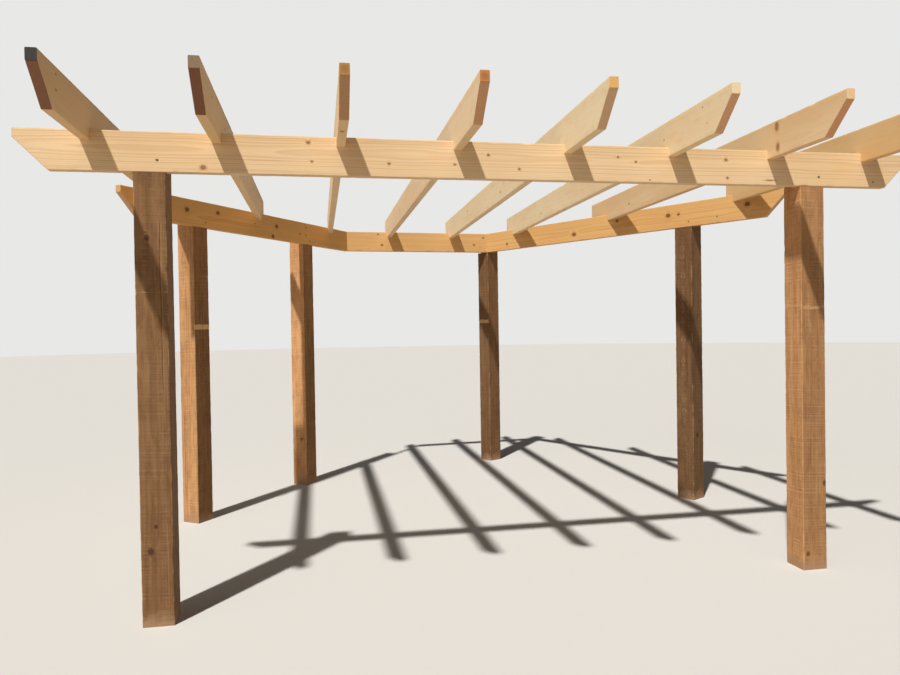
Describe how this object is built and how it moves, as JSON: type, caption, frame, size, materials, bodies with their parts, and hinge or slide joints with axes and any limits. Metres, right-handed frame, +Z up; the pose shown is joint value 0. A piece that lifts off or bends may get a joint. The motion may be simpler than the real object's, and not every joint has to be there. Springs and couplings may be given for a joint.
{
  "type": "wooden pergola",
  "caption": "Open wooden pergola: square stained posts, beams on edge around an angled back, and notched rafters with slant-cut ends.",
  "frame": {"origin": "on the ground under the middle of the frame's bounding box", "axes": "+X along the front beam to the right as seen from the front, +Y towards the back, +Z up"},
  "size_m": [4.8, 4.5168, 2.54],
  "materials": {
    "stained_post": "rough",
    "front_beam_timber": "matte",
    "rear_beam_timber": "matte",
    "rafter_timber": "matte"
  },
  "bodies": {
    "root": {"post_front_left": "stained_post", "post_front_right": "stained_post", "post_left_outer": "stained_post", "post_left_inner": "stained_post", "post_back_corner": "stained_post", "post_right_outer": "stained_post", "front_beam": "front_beam_timber", "rear_beam_left": "rear_beam_timber", "rear_beam_middle": "rear_beam_timber", "rear_beam_right": "rear_beam_timber", "rafter_1": "rafter_timber", "rafter_2": "rafter_timber", "rafter_3": "rafter_timber", "rafter_4": "rafter_timber", "rafter_5": "rafter_timber", "rafter_6": "rafter_timber", "rafter_7": "rafter_timber", "rafter_8": "rafter_timber"}
  },
  "joints": []
}
